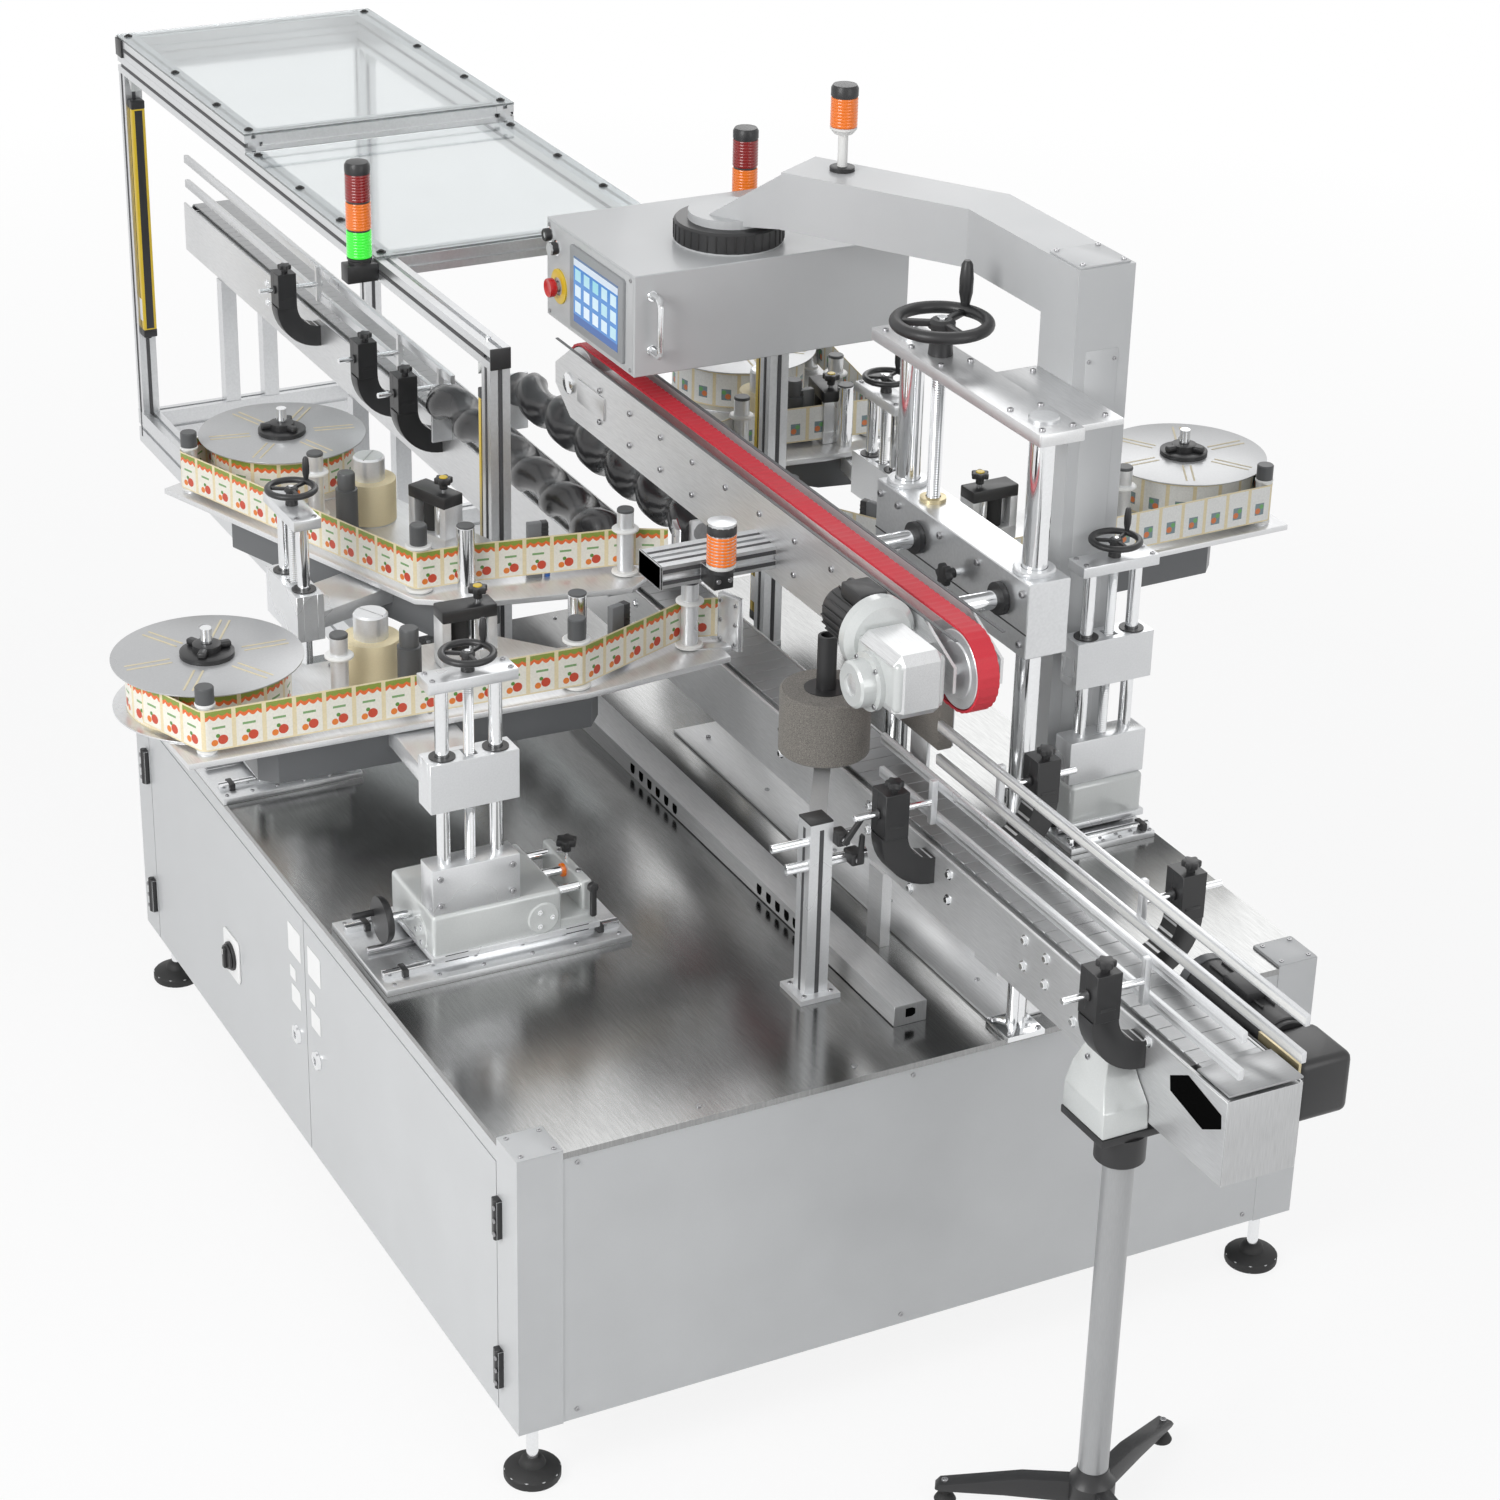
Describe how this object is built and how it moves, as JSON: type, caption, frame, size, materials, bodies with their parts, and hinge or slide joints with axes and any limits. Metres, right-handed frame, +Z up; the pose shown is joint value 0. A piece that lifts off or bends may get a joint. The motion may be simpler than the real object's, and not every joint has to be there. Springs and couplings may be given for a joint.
{
  "type": "inline bottle labelling machine",
  "caption": "Inline bottle labeller: cabinet on feet, lane conveyor with timing screws, label heads on lift columns, top hold-down belt, gantry control box and infeed guard.",
  "frame": {"origin": "centre of the overall bounding box at floor level", "axes": "+X along the conveyor in the direction the bottles travel, -Y the operator's side with the cabinet doors, +Z up"},
  "size_m": [4.9604, 2.5378, 1.9858],
  "materials": {
    "acetal_white": "light grey slide plastic",
    "aluminium": "clear anodised or milled aluminium",
    "black_plastic": "black moulded plastic",
    "chrome": "hard-chromed bar",
    "clear_panel": "clear sheet",
    "dark_grey": "dark grey plastic",
    "foam": "open-cell foam rubber",
    "label_paper": "label web on cream backing",
    "lamp_orange": "amber lens on black base",
    "painted_grey": "light grey powder coat",
    "red_rubber": "red belt rubber",
    "screen_glass": "lit screen in a metal bezel",
    "stainless": "brushed stainless steel",
    "stop_red": "red moulded button",
    "yellow_paint": "yellow and black housing"
  },
  "bodies": {
    "base": {"cabinet_body": "painted_grey", "table_plate": "stainless", "channel_beam": "stainless", "conveyor_frame": "aluminium", "conveyor_chain": "acetal_white", "conveyor_motor": "black_plastic", "outfeed_stand": "dark_grey", "guard_frame": "aluminium", "panel_far": "clear_panel", "panel_near": "clear_panel", "curtain_far": "yellow_paint", "curtain_near": "yellow_paint", "curtain_back": "yellow_paint", "tower_guard": "lamp_orange", "tower_back": "lamp_orange", "gantry_arm": "painted_grey", "beacon_arm": "lamp_orange", "lift_columns": "chrome", "roller_post": "stainless", "foam_pad": "foam", "column_h1": "aluminium", "column_h2": "aluminium", "column_h3": "aluminium", "column_h4": "aluminium"},
    "door_far_body": {"door_far": "painted_grey"},
    "door_near_body": {"door_near": "painted_grey"},
    "lock_far_body": {"lock_far": "stainless"},
    "lock_near_body": {"lock_near": "stainless"},
    "switch_body": {"switch_knob": "black_plastic"},
    "screw_near_body": {"feed_screw_near": "dark_grey"},
    "screw_far_body": {"feed_screw_far": "dark_grey"},
    "rail_near_body": {"guide_rail_near": "acetal_white"},
    "rail_far_body": {"guide_rail_far": "acetal_white"},
    "lift_body": {"lift_block": "aluminium", "belt_unit": "aluminium", "cross_bar": "aluminium", "hold_belt": "red_rubber"},
    "lift_wheel_body": {"gantry_handwheel": "black_plastic"},
    "pulley_near_body": {"belt_pulley_near": "aluminium"},
    "pulley_far_body": {"belt_pulley_far": "aluminium"},
    "box_body": {"control_box": "painted_grey", "screen": "screen_glass"},
    "stop_body": {"stop_button": "stop_red"},
    "foam_body": {"foam_roller": "foam"},
    "head_h1_body": {"head_h1": "aluminium", "web_h1": "label_paper"},
    "wheel_h1_body": {"wheel_h1": "black_plastic"},
    "reel_h1_body": {"reel_h1": "label_paper"},
    "rewinder_h1_body": {"rewinder_h1": "label_paper"},
    "head_h2_body": {"head_h2": "aluminium", "web_h2": "label_paper"},
    "wheel_h2_body": {"wheel_h2": "black_plastic"},
    "reel_h2_body": {"reel_h2": "label_paper"},
    "rewinder_h2_body": {"rewinder_h2": "label_paper"},
    "head_h3_body": {"head_h3": "aluminium"},
    "wheel_h3_body": {"wheel_h3": "black_plastic"},
    "reel_h3_body": {"reel_h3": "label_paper"},
    "head_h4_body": {"head_h4": "aluminium"},
    "wheel_h4_body": {"wheel_h4": "black_plastic"},
    "reel_h4_body": {"reel_h4": "label_paper"}
  },
  "joints": [
    {"name": "door_far_hinge", "type": "hinge", "parent": "base", "child": "door_far_body", "pos_m": [-0.1452, -0.9735, 0.128], "axis": [0, 0, 1], "range_deg": [-90, 0]},
    {"name": "door_near_hinge", "type": "hinge", "parent": "base", "child": "door_near_body", "pos_m": [1.6648, -0.9735, 0.128], "axis": [0, 0, 1], "range_deg": [0, 90]},
    {"name": "lock_far_turn", "type": "hinge", "parent": "door_far_body", "child": "lock_far_body", "pos_m": [0.7063, -0.9735, 0.357], "axis": [0, 1, 0], "range_deg": [0, 90]},
    {"name": "lock_near_turn", "type": "hinge", "parent": "door_near_body", "child": "lock_near_body", "pos_m": [0.8133, -0.9735, 0.357], "axis": [0, 1, 0], "range_deg": [0, 90]},
    {"name": "main_switch_turn", "type": "hinge", "parent": "door_far_body", "child": "switch_body", "pos_m": [0.3388, -0.9735, 0.338], "axis": [0, 1, 0], "range_deg": [0, 90]},
    {"name": "feed_screw_near_spin", "type": "hinge", "parent": "base", "child": "screw_near_body", "pos_m": [-0.6402, -0.0995, 1.055], "axis": [1, 0, 0], "continuous": true},
    {"name": "feed_screw_far_spin", "type": "hinge", "parent": "base", "child": "screw_far_body", "pos_m": [-0.6402, 0.0885, 1.055], "axis": [1, 0, 0], "continuous": true},
    {"name": "guide_rail_near_shift", "type": "slide", "parent": "base", "child": "rail_near_body", "axis": [0, 1, 0], "range_m": [-0.02, 0.01]},
    {"name": "guide_rail_far_shift", "type": "slide", "parent": "base", "child": "rail_far_body", "axis": [0, 1, 0], "range_m": [-0.01, 0.02]},
    {"name": "belt_lift", "type": "slide", "parent": "base", "child": "lift_body", "axis": [0, 0, 1], "range_m": [-0.02, 0.05]},
    {"name": "belt_lift_wheel", "type": "hinge", "parent": "base", "child": "lift_wheel_body", "pos_m": [0.8528, 0.2965, 1.6003], "axis": [0, 0, 1], "range_deg": [-721, 1801]},
    {"name": "belt_pulley_near_spin", "type": "hinge", "parent": "lift_body", "child": "pulley_near_body", "pos_m": [1.4948, -0.0055, 1.285], "axis": [0, 1, 0], "continuous": true},
    {"name": "belt_pulley_far_spin", "type": "hinge", "parent": "lift_body", "child": "pulley_far_body", "pos_m": [-0.0482, -0.0055, 1.285], "axis": [0, 1, 0], "continuous": true},
    {"name": "control_box_swivel", "type": "hinge", "parent": "base", "child": "box_body", "pos_m": [0.1698, 0.1965, 1.63], "axis": [0, 0, 1], "range_deg": [-40, 0]},
    {"name": "stop_button_press", "type": "slide", "parent": "box_body", "child": "stop_body", "axis": [0, 1, 0], "range_m": [0, 0.005], "stiffness_N_per_m": 400},
    {"name": "foam_roller_spin", "type": "hinge", "parent": "base", "child": "foam_body", "pos_m": [1.2098, -0.1235, 1.02], "axis": [0, 0, 1], "continuous": true},
    {"name": "head_h1_lift", "type": "slide", "parent": "base", "child": "head_h1_body", "axis": [0, 0, 1], "range_m": [-0.04, 0.01]},
    {"name": "head_h1_wheel", "type": "hinge", "parent": "base", "child": "wheel_h1_body", "pos_m": [1.0948, -0.7735, 1.2573], "axis": [0, 0, 1], "range_deg": [-1441, 361]},
    {"name": "reel_h1_spin", "type": "hinge", "parent": "head_h1_body", "child": "reel_h1_body", "pos_m": [0.6412, -1.09404, 1.06], "axis": [0, 0, 1], "continuous": true},
    {"name": "rewinder_h1_spin", "type": "hinge", "parent": "head_h1_body", "child": "rewinder_h1_body", "pos_m": [0.67683, -0.79009, 1.06], "axis": [0, 0, 1], "continuous": true},
    {"name": "head_h2_lift", "type": "slide", "parent": "base", "child": "head_h2_body", "axis": [0, 0, 1], "range_m": [-0.04, 0.01]},
    {"name": "head_h2_wheel", "type": "hinge", "parent": "base", "child": "wheel_h2_body", "pos_m": [0.2698, -0.7885, 1.2573], "axis": [0, 0, 1], "range_deg": [-1441, 361]},
    {"name": "reel_h2_spin", "type": "hinge", "parent": "head_h2_body", "child": "reel_h2_body", "pos_m": [-0.3387, -0.58613, 1.06], "axis": [0, 0, 1], "continuous": true},
    {"name": "rewinder_h2_spin", "type": "hinge", "parent": "head_h2_body", "child": "rewinder_h2_body", "pos_m": [-0.04285, -0.50789, 1.06], "axis": [0, 0, 1], "continuous": true},
    {"name": "head_h3_lift", "type": "slide", "parent": "base", "child": "head_h3_body", "axis": [0, 0, 1], "range_m": [-0.04, 0.01]},
    {"name": "head_h3_wheel", "type": "hinge", "parent": "base", "child": "wheel_h3_body", "pos_m": [1.1348, 0.5315, 1.2573], "axis": [0, 0, 1], "range_deg": [-1441, 361]},
    {"name": "reel_h3_spin", "type": "hinge", "parent": "head_h3_body", "child": "reel_h3_body", "pos_m": [0.5372, 1.09404, 1.06], "axis": [0, 0, 1], "continuous": true},
    {"name": "head_h4_lift", "type": "slide", "parent": "base", "child": "head_h4_body", "axis": [0, 0, 1], "range_m": [-0.04, 0.01]},
    {"name": "head_h4_wheel", "type": "hinge", "parent": "base", "child": "wheel_h4_body", "pos_m": [0.1998, 0.5615, 1.2573], "axis": [0, 0, 1], "range_deg": [-1441, 361]},
    {"name": "reel_h4_spin", "type": "hinge", "parent": "head_h4_body", "child": "reel_h4_body", "pos_m": [-0.42158, 0.53372, 1.06], "axis": [0, 0, 1], "continuous": true}
  ],
  "couplings": [
    {"joint": "feed_screw_far_spin", "follows": "feed_screw_near_spin", "ratio": -1},
    {"joint": "belt_lift_wheel", "follows": "belt_lift", "rad_per_m": 628.32},
    {"joint": "belt_pulley_far_spin", "follows": "belt_pulley_near_spin", "ratio": 1},
    {"joint": "head_h1_wheel", "follows": "head_h1_lift", "rad_per_m": 628.32},
    {"joint": "rewinder_h1_spin", "follows": "reel_h1_spin", "ratio": 2.7273},
    {"joint": "head_h2_wheel", "follows": "head_h2_lift", "rad_per_m": 628.32},
    {"joint": "rewinder_h2_spin", "follows": "reel_h2_spin", "ratio": 2.7273},
    {"joint": "head_h3_wheel", "follows": "head_h3_lift", "rad_per_m": 628.32},
    {"joint": "head_h4_wheel", "follows": "head_h4_lift", "rad_per_m": 628.32}
  ]
}
